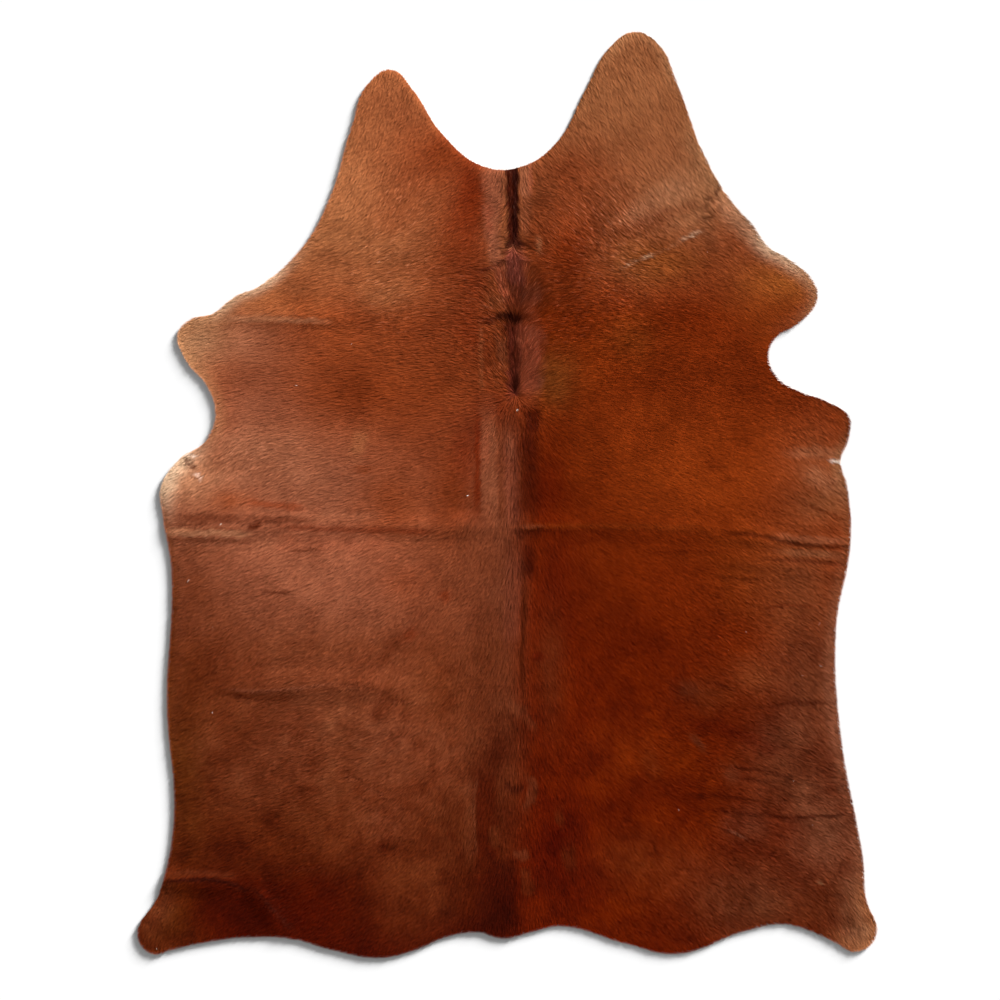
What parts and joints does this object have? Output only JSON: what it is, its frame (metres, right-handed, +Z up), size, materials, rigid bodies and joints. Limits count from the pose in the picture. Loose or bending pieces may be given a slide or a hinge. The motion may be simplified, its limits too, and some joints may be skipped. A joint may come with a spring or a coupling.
{
  "type": "cowhide rug",
  "caption": "Flat rug made of one trimmed cowhide with its short hair on, in its natural outline with neck flaps and leg stumps.",
  "frame": {"origin": "on the floor, under the middle of the box around the flat hide", "axes": "+Z up out of the hair, +Y along the spine from the rump to the neck, +X to the right seen from above with the neck up"},
  "size_m": [1.7524, 2.2, 0.0105],
  "materials": {
    "hair_on_hide": "short glossy red-brown hair laid flat on tanned skin, suede underside"
  },
  "bodies": {
    "root": {"hide": "hair_on_hide"}
  },
  "joints": []
}
